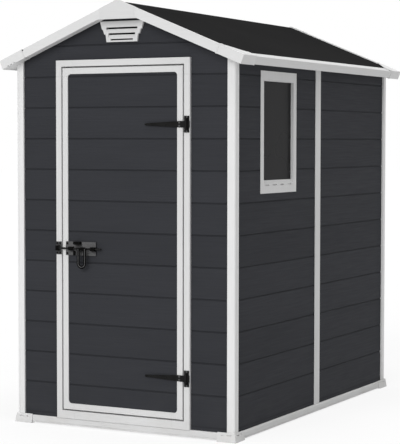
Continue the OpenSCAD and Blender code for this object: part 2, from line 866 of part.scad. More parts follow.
// One strap, turning on the pin at z = 0: a cranked root and a leaf that narrows to a round tip.
module hinge_strap() {
    crank_x = leaf_x - 12;
    barrel_x = hinge_x - 10;
    tip_x = hinge_x - strap_l + strap_tip / 2;
    difference() {
        union() {
            // Leaf, flat on the door
            translate([0, frame_front, 0]) rotate([90, 0, 0]) linear_extrude(hinge_t) {
                polygon([
                    [crank_x, -strap_root / 2], [crank_x, strap_root / 2],
                    [tip_x, strap_tip / 2], [tip_x, -strap_tip / 2]
                ]);
                translate([tip_x, 0]) circle(strap_tip / 2);
            }
            // Crank, from the door up to the barrel
            translate([0, 0, -strap_root / 2]) linear_extrude(strap_root)
                polygon([
                    [crank_x, frame_front], [crank_x, frame_front - hinge_t],
                    [barrel_x, hinge_y - hinge_t / 2], [hinge_x, hinge_y - hinge_t / 2],
                    [hinge_x, hinge_y + hinge_t / 2], [barrel_x, hinge_y + hinge_t / 2]
                ]);
            translate([hinge_x, hinge_y, -strap_root / 2]) cylinder(r = barrel_r, h = strap_root);
        }
        translate([hinge_x, hinge_y, -strap_root]) cylinder(r = pin_r + fit, h = 2 * strap_root);
    }
}

module hinge_straps()
    color(hardware) for (z = [bottom_hinge_z, top_hinge_z]) translate([0, 0, z]) hinge_strap();

// One jamb plate with two lugs and the pin they hold.
module hinge_plate() {
    lug_z = strap_root / 2 + play;
    translate([hinge_x - hinge_plate_w / 2, frame_front - hinge_t, -hinge_plate_h / 2])
        cube([hinge_plate_w, hinge_t, hinge_plate_h]);
    // Boss beside the barrel, out to the jamb's edge
    translate([hinge_x + barrel_r + 1, frame_front - hinge_t - 4, -strap_root / 2])
        cube([frame_x - hinge_x - barrel_r - 1, hinge_t + 4, strap_root]);
    for (z = [lug_z, -lug_z - lug_h]) translate([hinge_x, hinge_y, z]) {
        cylinder(r = barrel_r, h = lug_h);
        translate([-barrel_r, 0, 0]) cube([2 * barrel_r, barrel_r, lug_h]);
    }
    translate([hinge_x, hinge_y, -lug_z - lug_h]) cylinder(r = pin_r, h = 2 * (lug_z + lug_h));
}

module hinge_plates()
    color(hardware) for (z = [bottom_hinge_z, top_hinge_z]) translate([0, 0, z]) hinge_plate();

/* ---- Bolt ---- */

// A round-backed bridge over the rod from x0, w wide, with a bore of radius r.
module rod_bridge(x0, w, r)
    difference() {
        along_x(x0, x0 + w) {
            translate([rod_y, bolt_z]) circle(guide_r);
            translate([rod_y, bolt_z - guide_r]) square([frame_front - bolt_t - rod_y, 2 * guide_r]);
        }
        translate([x0 - cut, rod_y, bolt_z]) rotate([0, 90, 0]) cylinder(r = r, h = w + 2 * cut);
    }

module bolt_plate()
    color(hardware) {
        box([plate_x0, frame_front - bolt_t, bolt_z - bolt_plate_h / 2],
            [plate_x0 + bolt_plate_l, frame_front, bolt_z + bolt_plate_h / 2]);
        // Stop block above the rod
        box([block_x, guide_front, bolt_z + hasp_reach + block_clear],
            [block_x + block_w, frame_front - bolt_t, bolt_z + bolt_plate_h / 2]);
        rod_bridge(guide_x, guide_w, rod_r + fit);
        rod_bridge(plate_x0 + bolt_plate_l - guide_w, guide_w, rod_r + fit);
    }

module bolt_keep()
    color(hardware) {
        box([keep_x0, frame_front - bolt_t, bolt_z - 30], [keep_x0 + keep_w, frame_front, bolt_z + 30]);
        difference() {
            box([keep_x0 + 6, guide_front, bolt_z - rod_r - 7],
                [keep_x0 + keep_w - 6, frame_front - bolt_t, bolt_z + rod_r + 7]);
            box([keep_x0, rod_y - rod_r - 1.5, bolt_z - rod_r - 3.5],
                [keep_x0 + keep_w, frame_front - bolt_t, bolt_z + rod_r + 3.5]);
        }
    }

// The rod, with a ring on each side of the hasp's collar.
module bolt_rod()
    color(hardware) translate([0, rod_y, bolt_z]) rotate([0, 90, 0]) {
        translate([0, 0, rod_x0]) cylinder(r = rod_r, h = rod_l);
        for (x = [collar_x - collar_w / 2 - play - 3, collar_x + collar_w / 2 + play])
            translate([0, 0, x]) cylinder(r = rod_r + 2, h = 3);
    }

// The hasp: a collar that turns on the rod, and a long loop that hangs from it.
module bolt_hasp()
    color(hardware) difference() {
        union() {
            translate([collar_x - collar_w / 2, rod_y, bolt_z]) rotate([0, 90, 0])
                cylinder(r = collar_r, h = collar_w);
            // Neck between the collar and the loop
            box([collar_x - collar_w / 2, hasp_back - hasp_t, bolt_z - hasp_top],
                [collar_x + collar_w / 2, rod_y, bolt_z + hasp_top]);
            // Loop
            along_y(hasp_back - hasp_t, hasp_back) difference() {
                union() {
                    translate([collar_x - hasp_w / 2, bolt_z - hasp_l + hasp_w / 2])
                        square([hasp_w, hasp_l - hasp_w / 2 + hasp_top]);
                    translate([collar_x, bolt_z - hasp_l + hasp_w / 2]) circle(hasp_w / 2);
                }
                translate([collar_x - hasp_slot / 2, bolt_z - hasp_l + hasp_w / 2])
                    square([hasp_slot, hasp_l - hasp_w / 2 - 2 * hasp_top]);
                translate([collar_x, bolt_z - hasp_l + hasp_w / 2]) circle(hasp_slot / 2);
            }
        }
        translate([collar_x - collar_w, rod_y, bolt_z]) rotate([0, 90, 0])
            cylinder(r = rod_r + fit, h = 2 * collar_w);
    }

/* ---- Window ---- */

// How far the face is sunk inside the rim, and the width of the bead it leaves round the opening.
rim_d = 1;
rim_bead = 2;
// Number, depth and share of the length of the drain slots.
drains = 4;
drain_d = 8;
drain_share = 0.55;

module window_frame() {
    y0 = window_y - window_w / 2;
    y1 = window_y + window_w / 2;
    // Foot of the sill, and the opening's top edge at the face
    foot_z = window_z0 + window_foot;
    head_z = window_z1 - window_head;
    back = clad_x - wall_t;
    drain_pitch = (window_w - 2 * window_bar) / drains;
    color(white) difference() {
        union() {
            box([clad_x, y0, window_z0], [window_face, y1, window_z1]);
            box([back, y0 + frame_lap, window_z0 + frame_lap],
                [clad_x, y1 - frame_lap, window_z1 - frame_lap]);
        }
        // Clear opening, with a sill that slopes down from the pane
        along_y(y0 + window_bar, y1 - window_bar)
            polygon([
                [window_face + cut, head_z], [window_face + cut, foot_z], [window_face, foot_z],
                [pane_x, foot_z + window_sill], [back - cut, foot_z + window_sill], [back - cut, head_z]
            ]);
        // Face sunk inside the raised rim
        difference() {
            box([window_face - rim_d, y0 + window_rim, window_z0 + window_rim],
                [window_face + cut, y1 - window_rim, window_z1 - window_rim]);
            box([window_face - 2 * rim_d, y0 + window_bar - rim_bead, foot_z - rim_bead],
                [window_face + 2 * cut, y1 - window_bar + rim_bead, head_z + rim_bead]);
        }
        // Drain slots at the foot of the sill
        for (i = [0.5 : drains - 0.5])
            translate([window_face - drain_d, y0 + window_bar + (i - drain_share / 2) * drain_pitch, 0])
                translate([0, 0, foot_z - drain_h / 2])
                    cube([drain_d + cut, drain_share * drain_pitch, drain_h]);
        // Seat of the pane
        pane_block();
    }
}

// The pane, let into the frame by its rebate.
module pane_block() {
    rebate = 8;
    reach = window_w / 2 - window_bar + rebate;
    box([pane_x - pane_t, window_y - reach, window_z0 + window_foot + window_sill - rebate],
        [pane_x, window_y + reach, window_z1 - window_head + rebate]);
}

module window_pane() color([0.2, 0.2, 0.2]) pane_block();

floor_panel();
base_rail_front();
base_rail_back();
base_rail_left();
base_rail_right();
base_corners();
front_wall_left();
front_wall_right();
front_gable();
back_wall();
right_wall_front();
right_wall_back();
left_wall_front();
left_wall_back();
post_front_left();
post_front_right();
post_back_left();
post_back_right();
mid_post_left();
mid_post_right();
window_frame();
window_pane();
door_jamb_left();
door_jamb_right();
door_head();
door_threshold();
door_panel();
door_border();
hinge_straps();
hinge_plates();
bolt_plate();
bolt_rod();
bolt_hasp();
bolt_keep();
roof_panel_left();
roof_panel_right();
eave_trim_left();
eave_trim_right();
verge_front_left();
verge_front_right();
verge_back_left();
verge_back_right();
peak_cap_front();
peak_cap_back();
roof_corner_caps();
vent_louvre();
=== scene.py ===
# %% [markdown]
# # A garden shed in resin boards
#
# The shed's construction and sizes are already settled in a CAD model. This script loads that model
# as a fixed frame and gives it its looks: softened edges, screws, grain, gloss, wear and light.
# Lengths are in metres, +Z is up and the front of the shed faces -Y.

# %% Load the frame
import json
import math

import bpy
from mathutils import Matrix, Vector

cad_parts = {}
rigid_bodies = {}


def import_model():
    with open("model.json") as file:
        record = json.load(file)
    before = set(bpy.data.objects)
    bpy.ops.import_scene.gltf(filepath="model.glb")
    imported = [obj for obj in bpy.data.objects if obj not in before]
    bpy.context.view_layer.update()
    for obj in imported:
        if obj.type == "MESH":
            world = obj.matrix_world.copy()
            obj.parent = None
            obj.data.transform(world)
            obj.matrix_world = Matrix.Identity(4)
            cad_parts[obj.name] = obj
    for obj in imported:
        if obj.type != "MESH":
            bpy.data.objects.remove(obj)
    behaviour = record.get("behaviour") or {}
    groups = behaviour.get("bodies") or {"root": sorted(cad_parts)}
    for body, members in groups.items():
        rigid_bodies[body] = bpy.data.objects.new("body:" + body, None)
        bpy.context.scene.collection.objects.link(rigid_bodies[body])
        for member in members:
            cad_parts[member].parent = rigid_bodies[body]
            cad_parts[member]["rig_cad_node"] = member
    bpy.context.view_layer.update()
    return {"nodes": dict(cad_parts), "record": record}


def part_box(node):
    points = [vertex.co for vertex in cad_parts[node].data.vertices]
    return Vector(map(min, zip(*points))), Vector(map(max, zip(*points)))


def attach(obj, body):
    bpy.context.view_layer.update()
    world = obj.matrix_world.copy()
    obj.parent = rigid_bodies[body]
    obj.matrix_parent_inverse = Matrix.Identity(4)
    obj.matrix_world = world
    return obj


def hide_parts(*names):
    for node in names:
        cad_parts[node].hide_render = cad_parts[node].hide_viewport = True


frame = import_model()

# %% [markdown]
# ## The camera
#
# The shed stands three quarters on to the viewer, seen from a little below its eaves with a long
# lens, so that its upright lines stay almost parallel. The camera could be aimed with a Track To
# constraint, but plain angles are easier to read and keep the horizon level.

# %% Camera
LENS_MM = 127.43
CAMERA_PLACE = (3.6492, -7.0721, 1.3325)
DOWN, ROLL, AROUND = 2.9504, -0.0626, 27.7996  # degrees

camera_data = bpy.data.cameras.new("shed_camera")
camera_data.lens = LENS_MM
camera_data.sensor_width = 36.0
camera_data.clip_end = 200.0
camera = bpy.data.objects.new("shed_camera", camera_data)
bpy.context.scene.collection.objects.link(camera)
camera.location = CAMERA_PLACE
camera.rotation_euler = (math.radians(90 - DOWN), math.radians(ROLL), math.radians(AROUND))
bpy.context.scene.camera = camera
bpy.context.scene.view_settings.view_transform = "Standard"
print("camera at", CAMERA_PLACE, "lens", LENS_MM)

# %% [markdown]
# ## Light
#
# The shed stands in a white studio. The world fills the shadows with an even, weak light. What the
# camera sees of it is plain white, and so is what glass and metal reflect. Light Path tells these
# rays apart from the light that falls on the boards. A brighter world would also look white, but it
# would wash out the anthracite.

# %% A helper that adds shader nodes
def node_adder(tree):
    """Returns add(kind, inputs, **settings), which adds a node and fills or links its inputs."""
    def add(kind, inputs=None, **settings):
        node = tree.nodes.new("ShaderNode" + kind)
        for key, value in settings.items():
            setattr(node, key, value)
        for key, value in (inputs or {}).items():
            if isinstance(value, bpy.types.NodeSocket):
                tree.links.new(value, node.inputs[key])
            else:
                node.inputs[key].default_value = value
        return node
    return add


def seen_directly(add):
    """1 for camera, glossy and transmission rays, 0 for the light that falls on things."""
    path = add("LightPath").outputs
    mirrored = add("Math", {0: path["Is Camera Ray"], 1: path["Is Glossy Ray"]},
                   operation="MAXIMUM")
    through = add("Math", {0: mirrored.outputs[0], 1: path["Is Transmission Ray"]},
                  operation="MAXIMUM")
    return through.outputs[0]


# %% World
FILL = 0.37
world = bpy.data.worlds.new("studio")
bpy.context.scene.world = world
world.use_nodes = True
world.node_tree.nodes.clear()
add = node_adder(world.node_tree)
fill_light = add("Background", {"Color": (1, 1, 1, 1), "Strength": FILL})
white = add("Background", {"Color": (1, 1, 1, 1), "Strength": 1.0})
mixed = add("MixShader", {0: seen_directly(add), 1: fill_light.outputs[0], 2: white.outputs[0]})
add("OutputWorld", {"Surface": mixed.outputs[0]})
print("world fill", FILL)

# %% [markdown]
# ## Suns
#
# Two wide suns give the soft light: one from the front, which makes the front brighter than the
# side, and one from overhead, which lights the top edges. Area lamps could do the same, but a sun
# lights a tall object evenly from top to foot, where a lamp close by would fade.

# %% Suns
SUN_SPREAD = 40  # degrees


def add_sun(name, toward, strength):
    """A sun whose light comes from the direction toward."""
    data = bpy.data.lights.new(name, "SUN")
    data.energy = strength
    data.angle = math.radians(SUN_SPREAD)
    sun = bpy.data.objects.new(name, data)
    bpy.context.scene.collection.objects.link(sun)
    sun.rotation_euler = Vector(toward).to_track_quat("Z", "Y").to_euler()
    print(name, "strength", strength)


add_sun("key_sun", (0.03, -0.90, 0.42), 1.45)
add_sun("top_sun", (0.05, -0.05, 1.0), 1.6)

# %% [markdown]
# ## Floor
#
# A plain pale floor under the shed. It is a wide disc, so that its edge lies far off on every side.
# A small sheet with a bent-up back would do from one side only. Most of what the camera sees of the
# floor is plain white, and the rest is its own lit surface, which carries the shed's soft shadow.

# %% Floor
FLOOR_RADIUS = 60
PLAIN_SHARE = 0.8

bpy.ops.object.select_all(action="DESELECT")
bpy.ops.mesh.primitive_circle_add(vertices=96, radius=FLOOR_RADIUS, fill_type="NGON",
                                  location=(0, 0, 0))
floor = bpy.context.object
floor.name = "studio_floor"
floor_look = bpy.data.materials.new("studio_floor")
floor_look.use_nodes = True
floor_look.node_tree.nodes.clear()
add = node_adder(floor_look.node_tree)
seen = seen_directly(add)
paint = add("MixRGB", {0: seen, 1: (0.75, 0.75, 0.75, 1), 2: (0.95, 0.95, 0.95, 1)})
lit = add("BsdfDiffuse", {"Color": paint.outputs[0]})
plain = add("Emission", {"Color": (1, 1, 1, 1), "Strength": 1.0})
share = add("Math", {0: seen, 1: PLAIN_SHARE}, operation="MULTIPLY")
look = add("MixShader", {0: share.outputs[0], 1: lit.outputs[0], 2: plain.outputs[0]})
add("OutputMaterial", {"Surface": look.outputs[0]})
floor.data.materials.append(floor_look)
print("floor radius", FLOOR_RADIUS, "m")

# %% [markdown]
# ## Working the finishes out
#
# All the finishes are made with nodes that read Object coordinates, which here are metres from the
# middle of the shed's footprint. A picture of real grain could be wrapped on instead, but nodes
# stay sharp at any distance and need no file. A few helpers keep each finish short.

# %% Helpers for the finishes
def new_finish(name, roughness, specular):
    """A material with its shader, and the function that adds nodes to it."""
    finish = bpy.data.materials.new(name)
    finish.use_nodes = True
    tree = finish.node_tree
    shader = tree.nodes["Principled BSDF"]
    shader.inputs["Roughness"].default_value = roughness
    shader.inputs["Specular IOR Level"].default_value = specular
    return finish, shader, node_adder(tree)


def stretched(add, place, stretch, detail=3.0, distortion=0.0, turn=(0, 0, 0)):
    """A noise in metres, drawn out by the three numbers of stretch."""
    mapped = add("Mapping", {"Vector": place, "Scale": stretch, "Rotation": turn})
    noise = add("TexNoise", {"Vector": mapped.outputs[0], "Scale": 1.0, "Detail": detail,
                             "Distortion": distortion})
    return noise.outputs["Fac"]


def between(add, value, low, high, out_low=0.0, out_high=1.0):
    """Maps value from low..high to out_low..out_high and keeps it inside."""
    mapped = add("MapRange", {"Value": value, "From Min": low, "From Max": high,
                              "To Min": out_low, "To Max": out_high})
    return mapped.outputs[0]


def worked_out(add, operation, first, second=0.0):
    """The result of one Math node. Some operations need no second value."""
    return add("Math", {0: first, 1: second}, operation=operation).outputs[0]


def tinted(add, fac, first, second):
    """Mixes two colours, each a socket or three numbers, by fac."""
    colours = [c if isinstance(c, bpy.types.NodeSocket) else (*c, 1) for c in (first, second)]
    return add("MixRGB", {0: fac, 1: colours[0], 2: colours[1]}).outputs[0]


def raised(add, shader, heights):
    """Chains one Bump node for each (height socket, metres) and links the last to the shader."""
    normal = None
    for height, metres in heights:
        inputs = {"Height": height, "Distance": metres, "Strength": 1.0}
        if normal is not None:
            inputs["Normal"] = normal
        normal = add("Bump", inputs).outputs[0]
    shader.id_data.links.new(normal, shader.inputs["Normal"])


def dusty(add, place, colour, top, dust, most):
    """Lays patches of dust over a colour, thickest at the ground and gone at the height top."""
    height = add("SeparateXYZ", {0: place}).outputs["Z"]
    low = between(add, height, 0.0, top, 1.0, 0.0)
    patches = between(add, stretched(add, place, (9, 9, 14), 5.0), 0.42, 0.75)
    lying = worked_out(add, "MULTIPLY", low, patches)
    return tinted(add, worked_out(add, "MULTIPLY", lying, most), colour, dust)


# %% [markdown]
# ## Anthracite boards
#
# The cladding is moulded resin, dark grey through and through, pressed to look like boards with a
# shallow brushed grain. The grain runs level along every board, so it is a noise that is stretched
# level and squeezed upright. It could be modelled, but it is finer than a millimetre, so a bump is
# enough. On the real wall no two boards are alike, so each board shifts the noise by its own number
# and takes a slightly different tone. The grooves are painted darker, partly for the dirt they hold
# and partly as painted shade.

# %% Anthracite boards
FIRST_GROOVE = 0.198
BOARD = 0.143
BOARD_DUST = (0.14, 0.135, 0.125)
BOARD_DUST_TOP = 0.32


def board_finish(name, dark, light):
    """Boards whose colour drifts between dark and light."""
    finish, shader, add = new_finish(name, 0.62, 0.04)
    place = add("TexCoord").outputs["Object"]
    height = add("SeparateXYZ", {0: place}).outputs["Z"]
    above_first = worked_out(add, "SUBTRACT", height, FIRST_GROOVE)
    boards_up = worked_out(add, "DIVIDE", above_first, BOARD)
    number = worked_out(add, "FLOOR", boards_up)
    own = add("TexWhiteNoise", {"W": number}, noise_dimensions="1D")
    shifted = add("VectorMath", {0: place, 1: own.outputs["Color"]}, operation="ADD").outputs[0]
    # The distance from the nearest groove, in boards
    across = worked_out(add, "FRACT", worked_out(add, "ADD", boards_up, 0.5))
    off_groove = worked_out(add, "ABSOLUTE", worked_out(add, "SUBTRACT", across, 0.5))
    groove = between(add, off_groove, 0.020, 0.032, 1.0, 0.0)
    broad = stretched(add, shifted, (1.3, 1.3, 5.0), 2.0)
    streaks = stretched(add, shifted, (5.0, 5.0, 210.0), 4.0, 0.4)
    fine = stretched(add, shifted, (24.0, 24.0, 900.0), 2.0)
    tone = worked_out(add, "ADD", worked_out(add, "MULTIPLY", broad, 0.7),
                      worked_out(add, "MULTIPLY", own.outputs["Value"], 0.3))
    colour = tinted(add, between(add, tone, 0.3, 0.7), dark, light)
    in_streaks = between(add, streaks, 0.35, 0.75, 0.0, 0.22)
    colour = tinted(add, in_streaks, colour, [c * 0.7 for c in dark])
    # The grooves are painted darker: partly dirt, partly painted shade
    groove_dirt_and_shade = worked_out(add, "MULTIPLY", groove, 0.35)
    colour = tinted(add, groove_dirt_and_shade, colour, [c * 0.45 for c in dark])
    colour = dusty(add, place, colour, BOARD_DUST_TOP, BOARD_DUST, 0.06)
    links = shader.id_data.links
    links.new(colour, shader.inputs["Base Color"])
    links.new(between(add, streaks, 0.2, 0.8, 0.52, 0.74), shader.inputs["Roughness"])
    raised(add, shader, [(streaks, 0.0009), (fine, 0.00018)])
    return finish


board_resin = board_finish("board_resin", (0.0352, 0.0366, 0.0416), (0.0405, 0.0420, 0.0478))
print("made", board_resin.name)

# %% [markdown]
# ## White trims
#
# The posts, frames and roof edges are the same resin in white, with the same brushed grain. On a
# moulded trim the grain follows the length of the piece. One finish could find that way from a UV
# map, but the CAD pieces have none, so the finish is made once for each way that a trim can run:
# upright, across, front to back, and down each slope of the roof. The posts are whiter than the
# frames, and the roof's edges lie between the two: these lit and shaded copies of the one white are
# painted light and shade.

# %% White trims
# These whites are lit and shaded copies of one resin: their differences are painted light and shade
FRAME_WHITE = 0.685
POST_WHITE = 0.775
VERGE_WHITE = 0.715
CAP_WHITE = 0.72
TRIM_DUST = (0.42, 0.39, 0.34)
TRIM_DUST_TOP = 0.16
PITCH = math.radians(22.3)


def trim_finish(name, stretch, turn=(0, 0, 0), white=FRAME_WHITE):
    """White resin whose grain is drawn out by stretch, along axes turned by turn."""
    finish, shader, add = new_finish(name, 0.5, 0.3)
    place = add("TexCoord").outputs["Object"]
    broad = stretched(add, place, (2.0, 2.0, 2.0), 2.0)
    brushed = stretched(add, place, stretch, 4.0, 0.3, turn)
    colour = tinted(add, between(add, broad, 0.3, 0.7), [white * 0.97] * 3, [white * 1.02] * 3)
    in_grain = between(add, brushed, 0.35, 0.75, 0.0, 0.35)
    colour = tinted(add, in_grain, colour, [white * 0.87] * 3)
    colour = dusty(add, place, colour, TRIM_DUST_TOP, TRIM_DUST, 0.2)
    links = shader.id_data.links
    links.new(colour, shader.inputs["Base Color"])
    links.new(between(add, brushed, 0.2, 0.8, 0.42, 0.6), shader.inputs["Roughness"])
    raised(add, shader, [(brushed, 0.0004)])
    return finish


post_upright = trim_finish("post_upright", (260, 260, 6), white=POST_WHITE)
trim_upright = trim_finish("trim_upright", (260, 260, 6))
trim_along_x = trim_finish("trim_along_x", (6, 260, 260))
trim_along_y = trim_finish("trim_along_y", (260, 6, 260))
cap_resin = trim_finish("cap_resin", (260, 6, 260), white=CAP_WHITE)
trim_slope_right = trim_finish("trim_slope_right", (6, 260, 260), (0, -PITCH, 0), VERGE_WHITE)
trim_slope_left = trim_finish("trim_slope_left", (6, 260, 260), (0, PITCH, 0), VERGE_WHITE)
print("made seven white finishes")

# %% [markdown]
# ## Roof sheet
#
# The two roof panels are charcoal resin with a matt, faintly gritty skin and no gloss at all. High
# roughness alone would leave a pale veil at a low angle, so the shader has no specular either. The
# grit is a bump finer than a millimetre.

# %% Roof sheet
ROOF_DARK, ROOF_LIGHT = (0.0200, 0.0200, 0.0203), (0.0255, 0.0255, 0.0258)
GRIT_TONE = (0.027, 0.027, 0.027)


def roof_finish(name):
    """Matt charcoal resin with a gritty skin."""
    finish, shader, add = new_finish(name, 0.95, 0.0)
    place = add("TexCoord").outputs["Object"]
    broad = stretched(add, place, (1.5, 1.0, 1.5), 3.0)
    grit = stretched(add, place, (700, 700, 700), 2.0)
    colour = tinted(add, between(add, broad, 0.3, 0.7), ROOF_DARK, ROOF_LIGHT)
    colour = tinted(add, between(add, grit, 0.4, 0.8, 0.0, 0.3), colour, GRIT_TONE)
    shader.id_data.links.new(colour, shader.inputs["Base Color"])
    raised(add, shader, [(grit, 0.0005)])
    return finish


roof_sheet = roof_finish("roof_sheet")
print("made", roof_sheet.name)

# %% [markdown]
# ## Metal
#
# The hinges and the bolt are steel under a black coat that shows an orange-peel skin when the
# light grazes it. The hinges have weathered a little, and the bolt, which is handled, stays
# blacker. Its base plate's flat and some screw heads are painted grey: a painted reflection of the
# bright surroundings in their glossy black, and on the screws a painted glint. The keep's flat
# has the same painted reflection in a darker grey, and the rod is smoother than the rest from
# sliding. Steel could be made with the metallic setting, but paint is no metal: its base colour
# stays dark and the shine comes from the specular.

# %% Black metal, and greys that are painted sheen
def coated_metal(name, dark, light, roughness, specular):
    """Painted steel whose grey drifts between dark and light."""
    finish, shader, add = new_finish(name, roughness, specular)
    place = add("TexCoord").outputs["Object"]
    broad = stretched(add, place, (30, 30, 30), 3.0)
    peel = stretched(add, place, (900, 900, 900), 1.0)
    colour = tinted(add, between(add, broad, 0.3, 0.7), dark, light)
    gloss = between(add, broad, 0.2, 0.8, roughness - 0.08, roughness + 0.1)
    links = shader.id_data.links
    links.new(colour, shader.inputs["Base Color"])
    links.new(gloss, shader.inputs["Roughness"])
    raised(add, shader, [(peel, 0.00008)])
    return finish


black_coat = coated_metal("black_coat", [0.004] * 3, [0.008] * 3, 0.38, 0.10)
bolt_coat = coated_metal("bolt_coat", [0.001] * 3, [0.003] * 3, 0.38, 0.04)
rod_coat = coated_metal("rod_coat", [0.001] * 3, [0.002] * 3, 0.25, 0.2)
# These two greys are painted sheen: the reflection on the bolt's flats, and highlights on screw
# heads and the hasp
grey_and_painted_sheen = coated_metal("grey_and_painted_sheen", (0.074, 0.074, 0.076), (0.092, 0.092, 0.094), 0.45, 0.2)
dark_painted_sheen = coated_metal("dark_painted_sheen", (0.040, 0.040, 0.041), (0.050, 0.050, 0.051), 0.45, 0.2)
print("made five metal coats")

# %% [markdown]
# ## Window pane
#
# The pane is clear sheet in front of an unlit room, which reads as near black. It could be made
# fully clear, but then the white floor would show through it and the far door gaps. So the dark of
# the room is painted shade in the pane's dark body colour, the pane keeps only a little of its
# clearness, and a faint haze varies its colour and gloss.

# %% Window pane
# The pane's dark colours are painted shade of the unlit room behind
PANE_DARK, PANE_LIGHT = (0.016, 0.016, 0.017), (0.020, 0.020, 0.021)


def pane_finish(name):
    """Slightly clear sheet whose dark colour is painted shade of the room behind, with a faint
    haze.
    """
    finish, shader, add = new_finish(name, 0.3, 0.01)
    shader.inputs["Transmission Weight"].default_value = 0.15
    place = add("TexCoord").outputs["Object"]
    haze = stretched(add, place, (3, 3, 3), 3.0)
    colour = tinted(add, between(add, haze, 0.3, 0.7), PANE_DARK, PANE_LIGHT)
    links = shader.id_data.links
    links.new(colour, shader.inputs["Base Color"])
    links.new(between(add, haze, 0.3, 0.7, 0.26, 0.34), shader.inputs["Roughness"])
    return finish


pane_painted_dark = pane_finish("pane_painted_dark")
print("made", pane_painted_dark.name)

# %% [markdown]
# ## A finish for each piece
#
# Each CAD node gets one finish. The nodes could be named one by one, but most of them differ only
# in their last word, so a name is matched by how it starts, and the longest match wins.

# %% Which finish each CAD node takes
FINISHES = {
    "front_wall": board_resin, "front_gable": board_resin, "back_wall": board_resin,
    "right_wall": board_resin, "left_wall": board_resin,
    "door_panel": board_resin, "floor_panel": board_resin,
    "post": post_upright, "mid_post": trim_upright, "window_frame": trim_upright,
    "door_jamb": trim_upright, "door_border": trim_upright, "base_corners": trim_upright,
    "door_head": trim_along_x, "door_threshold": trim_along_x, "vent_louvre": trim_along_x,
    "base_rail_front": trim_along_x, "base_rail_back": trim_along_x,
    "base_rail_left": trim_along_y, "base_rail_right": trim_along_y, "eave_trim": trim_along_y,
    "peak_cap": trim_along_x, "roof_corner_caps": cap_resin,
    "verge_front_left": trim_slope_left, "verge_back_left": trim_slope_left,
    "verge_front_right": trim_slope_right, "verge_back_right": trim_slope_right,
    "roof_panel": roof_sheet, "window_pane": pane_painted_dark,
    "hinge": black_coat, "bolt": bolt_coat, "bolt_rod": rod_coat,
}
for name, node in frame["nodes"].items():
    key = max((k for k in FINISHES if name.startswith(k)), key=len)
    node.data.materials.clear()
    node.data.materials.append(FINISHES[key])
print("finishes given to", len(frame["nodes"]))

# %% [markdown]
# ## Soft edges
#
# Every moulded or pressed edge on the real shed is slightly round, and that small round is what
# catches the light and separates one white trim from the next. The CAD solids have sharp edges.
# They could be rounded by the shader's Bevel node, but that is lost when the model is exported. So
# each is copied, its loose triangles are merged into whole faces, and a Bevel modifier rounds what
# is sharper than 30 degrees. Weighted Normal lets the large faces rule the shading, so that they
# stay flat and only the rounds turn. The copy then stands for the CAD node and rides on its body.

# %% Rounding helpers
BODY = {node: body
        for body, nodes in frame["record"]["behaviour"]["bodies"].items() for node in nodes}
FLAT = math.radians(0.5)
SHARP = math.radians(30)
SMOOTH = math.radians(60)
# The thin shells of the caps have no curved face, so each facet keeps its own flat shading
ALL_FLATS = ("roof_corner_caps",)


def only(thing):
    """Selects this object and nothing else, and makes it the active one."""
    bpy.ops.object.select_all(action="DESELECT")
    thing.select_set(True)
    bpy.context.view_layer.objects.active = thing


def whole_copy(node_name):
    """A copy of a CAD node with its loose triangles merged into whole faces, none concave."""
    only(frame["nodes"][node_name])
    bpy.ops.object.duplicate()
    copy = bpy.context.object
    del copy["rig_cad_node"]
    copy.name = node_name + "_rounded"
    bpy.ops.object.mode_set(mode="EDIT")
    bpy.ops.mesh.select_all(action="SELECT")
    bpy.ops.mesh.remove_doubles(threshold=0.00001)
    bpy.ops.mesh.dissolve_limited(angle_limit=FLAT)
    bpy.ops.mesh.select_all(action="SELECT")
    bpy.ops.mesh.vert_connect_concave()
    bpy.ops.object.mode_set(mode="OBJECT")
    return copy


def round_edges(piece, width, facets=False):
    """Rounds every sharp edge of the piece and keeps the flats flat."""
    only(piece)
    bevel = piece.modifiers.new("round", "BEVEL")
    bevel.width = width
    bevel.segments = 2
    bevel.limit_method = "ANGLE"
    bevel.angle_limit = SHARP
    bpy.ops.object.modifier_apply(modifier=bevel.name)
    if facets:
        bpy.ops.object.shade_flat()
        return
    bpy.ops.object.shade_smooth_by_angle(angle=SMOOTH)
    flats = piece.modifiers.new("flats", "WEIGHTED_NORMAL")
    flats.keep_sharp = True
    bpy.ops.object.modifier_apply(modifier=flats.name)


def softened(node_name, width):
    """The rounded copy that stands for a CAD node."""
    piece = whole_copy(node_name)
    before = len(piece.data.polygons)
    round_edges(piece, width, facets=node_name in ALL_FLATS)
    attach(piece, BODY[node_name])
    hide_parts(node_name)
    after = len(piece.data.polygons)
    print(f"{node_name}: {before} faces, {after} when rounded by {width * 1000:.1f} mm")
    return piece


# %% [markdown]
# ## How round each piece is
#
# A thick moulding has rounder edges than a thin one, and pressed steel has edges that are dulled
# rather than rounded. One width for all would be simpler, but it would either swallow the thin
# lips of the frames or leave the base's feet too crisp.

# %% Round every node
ROUNDING = {  # metres
    "front_wall": 0.0008, "front_gable": 0.0008, "back_wall": 0.0008, "right_wall": 0.0008,
    "left_wall": 0.0008, "floor_panel": 0.0008, "door_panel": 0.0008,
    "post": 0.0005, "mid_post": 0.0015, "base_rail": 0.0008, "base_corners": 0.0015,
    "window_frame": 0.0004, "window_pane": 0.0003, "vent_louvre": 0.0006,
    "door_jamb": 0.0005, "door_head": 0.0005, "door_threshold": 0.0005, "door_border": 0.0005,
    "roof_panel": 0.0010, "eave_trim": 0.0006, "verge": 0.0008,
    "roof_corner_caps": 0.0005, "peak_cap": 0.0008,
    "hinge": 0.0005, "bolt": 0.0005, "bolt_hasp": 0.0010,
}
rounded = {}
for name in frame["nodes"]:
    key = max((k for k in ROUNDING if name.startswith(k)), key=len)
    rounded[name] = softened(name, ROUNDING[key])
print("rounded", len(rounded), "nodes")
